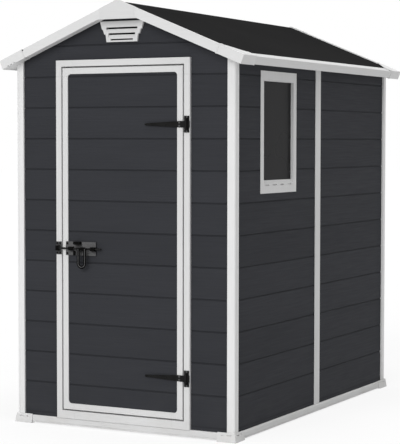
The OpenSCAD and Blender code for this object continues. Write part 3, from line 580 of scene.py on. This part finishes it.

# %% [markdown]
# ## Painted reflection on the bolt's plates
#
# The bolt is glossy black, but the flat front of its base plate reflects the bright surroundings
# and reads grey, while the guides and the stop block welded onto it and the plate's rolled edge
# stay
# black. That reflection is painted: the flat takes a grey colour. The flat could be a thin sheet of
# its own, but a second material slot on the same piece leaves no seam. The flat's faces are picked
# by their height above the door and by the way they face. The keep on the jamb gets the same
# painted reflection in darker grey.

# %% A helper that picks faces
def pick_faces(piece, wanted):
    """Enters edit mode with the faces selected for which wanted(centre, normal) is true."""
    only(piece)
    bpy.ops.object.mode_set(mode="EDIT")
    bpy.ops.mesh.select_mode(type="FACE")
    bpy.ops.mesh.select_all(action="DESELECT")
    bpy.ops.object.mode_set(mode="OBJECT")
    for face in piece.data.polygons:
        face.select = wanted(face.center, face.normal)
    bpy.ops.object.mode_set(mode="EDIT")


# %% Painted reflection on the flats
PLATE_THICK = 0.0025
FACING = 0.99  # how far along an axis a normal has to point to count as facing it


def paint_sheen_on_flat(piece, back_y, coat):
    """Paints the coat, a grey that stands for reflected light, on the front of the plate whose back
    lies at back_y.
    """
    front_y = back_y - PLATE_THICK
    piece.data.materials.append(coat)
    pick_faces(piece, lambda centre, normal:
               normal.y < -FACING and abs(centre.y - front_y) < 0.0003)
    bpy.context.object.active_material_index = len(piece.data.materials) - 1
    bpy.ops.object.material_slot_assign()
    bpy.ops.object.mode_set(mode="OBJECT")
    grey = sum(face.area for face in piece.data.polygons if face.material_index == 1)
    print(f"{piece.name}: {grey * 1e6:.0f} square mm in {coat.name}")


plate_low, plate_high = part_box("bolt_plate")
keep_low, keep_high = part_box("bolt_keep")
# The grey given to these flats is a painted reflection
paint_sheen_on_flat(rounded["bolt_plate"], plate_high[1], grey_and_painted_sheen)
paint_sheen_on_flat(rounded["bolt_keep"], keep_high[1], dark_painted_sheen)

# %% [markdown]
# ## Screws
#
# Pan-head screws hold the hinges, the bolt and its keep. A pan head is a short cylinder whose front
# edge is rolled over, with a cross recess. It could be spun from a profile, but a cylinder with a
# bevelled rim gives the same shape in fewer steps. The recess is cut by a boolean with two bars.
# One screw of each size is made at the origin, facing the front, and copied to every place.

# %% A pan-head screw
CREASE = math.radians(40)  # small round pieces are shaded smooth across less than this


def new_screw(name, radius, coat):
    """A pan-head screw whose seat is at the origin and which faces -Y."""
    height = radius * 0.6
    bpy.ops.object.select_all(action="DESELECT")
    bpy.ops.mesh.primitive_cylinder_add(vertices=24, radius=radius, depth=height,
                                        location=(0, -height / 2, 0),
                                        rotation=(math.pi / 2, 0, 0))
    screw = bpy.context.object
    screw.name = name
    bpy.ops.object.transform_apply(location=True, rotation=True, scale=True)
    pick_faces(screw, lambda centre, normal: normal.y < -FACING)
    bpy.ops.mesh.bevel(offset=height * 0.6, segments=3, affect="EDGES")
    bpy.ops.object.mode_set(mode="OBJECT")
    for turn in (0, math.pi / 2):
        bpy.ops.object.select_all(action="DESELECT")
        bpy.ops.mesh.primitive_cube_add(size=1, location=(0, -height, 0), rotation=(0, turn, 0))
        bar = bpy.context.object
        bar.scale = (radius * 1.1, height * 0.9, radius * 0.22)
        bpy.ops.object.transform_apply(location=True, rotation=True, scale=True)
        cut = screw.modifiers.new("recess", "BOOLEAN")
        cut.operation = "DIFFERENCE"
        cut.object = bar
        only(screw)
        bpy.ops.object.modifier_apply(modifier=cut.name)
        only(bar)
        bpy.ops.object.delete()
    screw.data.materials.append(coat)
    only(screw)
    bpy.ops.object.shade_smooth_by_angle(angle=CREASE)
    return screw


def place_copies(model, places, body):
    """Copies a model from the origin to each place, each with its own mesh, and removes it."""
    name = model.name
    for number, place in enumerate(places):
        only(model)
        bpy.ops.object.duplicate()
        copy = bpy.context.object
        copy.name = f"{name}_{number + 1}"
        copy.location = place
        bpy.ops.object.transform_apply(location=True, rotation=True, scale=True)
        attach(copy, body)
    only(model)
    bpy.ops.object.delete()
    print(f"{len(places)} x {name} on {body}")


# %% [markdown]
# ## Screws of the hinges
#
# Each strap has two large screws at its root, one over the other, and two small ones along it. The
# plate on the jamb has one above and one below the strap. The small ones are as black as the strap,
# and the others are painted grey, a painted glint that shows them as paler dots. Their places could
# be typed in one by one, but most are measured from the boxes of the CAD hinges, so that they sit
# where those do.

# %% Screws of the hinges
STRAP_THICK = 0.003
HALF_ROOT = 0.0145
ROOT_X, ROOT_UP = 0.301, 0.0075
MIDDLE_X, TIP_IN = 0.232, 0.0065
JAMB_UP = 0.0315

strap_low, strap_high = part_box("hinge_straps")
jamb_low, jamb_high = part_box("hinge_plates")
pin_x = (jamb_low[0] + jamb_high[0]) / 2
hinge_heights = (strap_low[2] + HALF_ROOT, strap_high[2] - HALF_ROOT)
seat_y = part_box("door_head")[0][1] - STRAP_THICK
strap_places = [(x, seat_y, z) for z in hinge_heights for x in (MIDDLE_X, strap_low[0] + TIP_IN)]
root_places = [(ROOT_X, seat_y, z + up) for z in hinge_heights for up in (-ROOT_UP, ROOT_UP)]
jamb_places = [(pin_x, seat_y, z + up) for z in hinge_heights for up in (-JAMB_UP, JAMB_UP)]
place_copies(new_screw("strap_screw", 0.0034, black_coat), strap_places, "door")
# The grey of the larger heads is a painted glint
place_copies(new_screw("root_screw", 0.0052, grey_and_painted_sheen), root_places, "door")
place_copies(new_screw("jamb_screw", 0.0042, grey_and_painted_sheen), jamb_places, "shed")

# %% [markdown]
# ## Heads of the hinge pins
#
# Each hinge pin is peened over above its upper lug and below its lower one. Half a sphere would be
# too tall and would meet the lug at a sharp angle, so the head is a short cylinder whose free end
# is bevelled until it is domed.

# %% Pin heads
HEAD_R = 0.0042
HEAD_H = 0.0022
PIN_END = 0.0249
PIN_IN = 0.0055


def new_pin_head(name, up):
    """A domed head whose flat seat is at the origin and which points up (1) or down (-1)."""
    bpy.ops.object.select_all(action="DESELECT")
    bpy.ops.mesh.primitive_cylinder_add(vertices=24, radius=HEAD_R, depth=HEAD_H,
                                        location=(0, 0, up * HEAD_H / 2))
    head = bpy.context.object
    head.name = name
    bpy.ops.object.transform_apply(location=True, rotation=True, scale=True)
    pick_faces(head, lambda centre, normal: normal.z * up > FACING)
    bpy.ops.mesh.bevel(offset=HEAD_H * 0.8, segments=4, affect="EDGES")
    bpy.ops.object.mode_set(mode="OBJECT")
    head.data.materials.append(black_coat)
    only(head)
    bpy.ops.object.shade_smooth_by_angle(angle=CREASE)
    return head


pin_y = jamb_low[1] + PIN_IN
for name, up in (("pin_head_top", 1), ("pin_head_foot", -1)):
    places = [(pin_x, pin_y, z + up * PIN_END) for z in hinge_heights]
    place_copies(new_pin_head(name, up), places, "shed")

# %% [markdown]
# ## Screws of the bolt and its keep
#
# The bolt's plate is held by two screws at its outer end, and the small keep by four, one in each
# corner. They could be part of the plates, but as copies of one screw they all keep their recess.
# They are the same pan heads as on the hinges, in the bolt's black, seated on the plates' fronts.

# %% Screws of the bolt and its keep
BOLT_SCREW_IN, BOLT_SCREW_UP = 0.009, 0.023
KEEP_SCREW_OUT, KEEP_SCREW_UP = 0.008, 0.022

rod_z = (plate_low[2] + plate_high[2]) / 2
plate_face = plate_high[1] - PLATE_THICK
keep_x = (keep_low[0] + keep_high[0]) / 2
bolt_places = [(plate_low[0] + BOLT_SCREW_IN, plate_face, rod_z + up)
               for up in (-BOLT_SCREW_UP, BOLT_SCREW_UP)]
keep_places = [(keep_x + aside, plate_face, rod_z + up)
               for aside in (-KEEP_SCREW_OUT, KEEP_SCREW_OUT)
               for up in (-KEEP_SCREW_UP, KEEP_SCREW_UP)]
place_copies(new_screw("bolt_screw", 0.0050, bolt_coat), bolt_places, "door")
place_copies(new_screw("keep_screw", 0.0042, bolt_coat), keep_places, "shed")

# %% [markdown]
# ## Fixings of two corner caps
#
# The caps with the three slots are held by one small grey screw each, at the top of the verge just
# above the cap. Its place could be given in plain lengths, but it is worked out down the slope from
# the ridge, like everything on the roof. The screw at the back is turned half round.

# %% Fixings of the caps
RIDGE = 1.9628
FIXING_DOWN = 0.551
FIXING_R = 0.0036

fixing_x = FIXING_DOWN * math.cos(PITCH)
fixing_z = RIDGE - FIXING_DOWN * math.sin(PITCH)
front_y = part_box("verge_front_left")[0][1]
front_screw = new_screw("cap_screw_front", FIXING_R, grey_and_painted_sheen)
place_copies(front_screw, [(-fixing_x, front_y, fixing_z)], "shed")
back_screw = new_screw("cap_screw_back", FIXING_R, grey_and_painted_sheen)
only(back_screw)
bpy.ops.transform.rotate(value=math.pi, orient_axis="Z", center_override=(0, 0, 0))
bpy.ops.object.transform_apply(location=True, rotation=True, scale=True)
place_copies(back_screw, [(fixing_x, -front_y, fixing_z)], "shed")

# %% [markdown]
# ## Clips beside the first guide
#
# Two black pressed clips hold the plate to the door beside the bolt's first guide, above and below
# the rod's way. Each could be sculpted from a fine sheet, but a flat block is enough: its front is
# inset and pushed in again, as a press leaves it, and its edges are rounded. The collar slides past
# between them, and the upper one is shorter, so that the hasp's neck can swing up in front of it.

# %% Clips
CLIP_W, CLIP_THICK = 0.0135, 0.0025
CLIP_IN = 0.041
CLIP_EDGE = 0.0005
FOOT_REACH, TOP_REACH = 0.0215, 0.0120  # from the plate's edge to the clip's inner end
CLIP_FRAME, CLIP_PRESSED = 0.0022, 0.0007

clip_x = plate_low[0] + CLIP_IN + CLIP_W / 2
for name, foot, top in (
        ("bolt_clip_foot", plate_low[2] + CLIP_EDGE, plate_low[2] + FOOT_REACH),
        ("bolt_clip_top", plate_high[2] - TOP_REACH, plate_high[2] - CLIP_EDGE)):
    bpy.ops.object.select_all(action="DESELECT")
    bpy.ops.mesh.primitive_cube_add(
        size=1, location=(clip_x, plate_face - CLIP_THICK / 2, (foot + top) / 2))
    clip = bpy.context.object
    clip.name = name
    clip.scale = (CLIP_W, CLIP_THICK, top - foot)
    bpy.ops.object.transform_apply(location=True, rotation=True, scale=True)
    pick_faces(clip, lambda centre, normal: normal.y < -FACING)
    bpy.ops.mesh.inset(thickness=CLIP_FRAME, depth=0.0)
    bpy.ops.transform.translate(value=(0, CLIP_PRESSED, 0))
    bpy.ops.object.mode_set(mode="OBJECT")
    round_edges(clip, 0.0003)
    clip.data.materials.append(bolt_coat)
    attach(clip, "door")
    print(clip.name, "faces", len(clip.data.polygons))

# %% [markdown]
# ## The painted highlight along the hasp
#
# The hasp's bar shows a lighter line along its middle, where it catches the light. That highlight
# is
# painted: a thin grey strip, slightly raised, runs along the middle of the bar. A bevelled curve
# could follow the bar, but this needs only mesh tools: a torus gives the bend, its upper half is
# bisected away, and the two open ends are extruded straight up to the neck.

# %% The painted highlight along the hasp
HASP_SLOT_W = 0.020
STRIP_R = 0.0016
STRIP_SUNK = 0.0006
NECK_ABOVE_ROD = 0.0005

hasp_low, hasp_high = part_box("bolt_hasp")
hasp_x = (hasp_low[0] + hasp_high[0]) / 2
hasp_w = hasp_high[0] - hasp_low[0]
bend_z = hasp_low[2] + hasp_w / 2
bpy.ops.object.select_all(action="DESELECT")
bpy.ops.mesh.primitive_torus_add(major_segments=40, minor_segments=10,
                                 major_radius=(hasp_w + HASP_SLOT_W) / 4, minor_radius=STRIP_R,
                                 location=(hasp_x, hasp_low[1] + STRIP_SUNK, bend_z),
                                 rotation=(math.pi / 2, 0, 0))
highlight_strip = bpy.context.object
highlight_strip.name = "hasp_painted_highlight"
bpy.ops.object.transform_apply(location=True, rotation=True, scale=True)
bpy.ops.object.mode_set(mode="EDIT")
bpy.ops.mesh.select_all(action="SELECT")
bpy.ops.mesh.bisect(plane_co=(hasp_x, 0, bend_z), plane_no=(0, 0, 1), clear_outer=True)
rise = rod_z + NECK_ABOVE_ROD - bend_z
bpy.ops.mesh.extrude_edges_move(TRANSFORM_OT_translate={"value": (0, 0, rise)})
bpy.ops.mesh.edge_face_add()
bpy.ops.mesh.select_all(action="SELECT")
bpy.ops.mesh.normals_make_consistent(inside=False)
bpy.ops.object.mode_set(mode="OBJECT")
# The strip's grey is a painted highlight
highlight_strip.data.materials.append(grey_and_painted_sheen)
bpy.ops.object.shade_smooth_by_angle(angle=CREASE)
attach(highlight_strip, "hasp")
print("hasp rib:", len(highlight_strip.data.polygons), "faces, ends extruded by", round(rise, 4))

# %% [markdown]
# ## Insect mesh behind the vent
#
# A fine black mesh closes the vent's neck against insects, which is also why its slots look so
# dark. Every wire could be a cylinder, but hundreds of them would cost a lot and never meet
# cleanly. A grid is cut to the neck's outline instead, and Wireframe turns its edges into wires.

# %% Insect mesh
NECK_IN = 0.009
NECK_TOP_X, NECK_FOOT_X = 0.0922, 0.0695
MESH_SETBACK = 0.004
WIRE = 0.0012

vent_low, vent_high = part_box("vent_louvre")
neck_top, neck_foot = vent_high[2] - NECK_IN, vent_low[2] + NECK_IN
mesh_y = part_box("front_gable")[0][1] + MESH_SETBACK
bpy.ops.object.select_all(action="DESELECT")
bpy.ops.mesh.primitive_grid_add(x_subdivisions=46, y_subdivisions=19, size=1,
                                rotation=(math.pi / 2, 0, 0))
insect_mesh = bpy.context.object
insect_mesh.name = "vent_mesh"
insect_mesh.scale = (2 * NECK_TOP_X, neck_top - neck_foot, 1)
insect_mesh.location = (0, mesh_y, (neck_top + neck_foot) / 2)
bpy.ops.object.transform_apply(location=True, rotation=True, scale=True)
bpy.ops.object.mode_set(mode="EDIT")
for side in (-1, 1):
    bpy.ops.mesh.select_all(action="SELECT")
    bpy.ops.mesh.bisect(plane_co=(side * NECK_FOOT_X, 0, neck_foot),
                        plane_no=(side * (neck_top - neck_foot), 0, NECK_FOOT_X - NECK_TOP_X),
                        clear_outer=True)
bpy.ops.object.mode_set(mode="OBJECT")
wires = insect_mesh.modifiers.new("wires", "WIREFRAME")
wires.thickness = WIRE
only(insect_mesh)
bpy.ops.object.modifier_apply(modifier=wires.name)
insect_mesh.data.materials.append(bolt_coat)
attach(insect_mesh, "shed")
print("insect mesh:", len(insect_mesh.data.polygons), "faces")
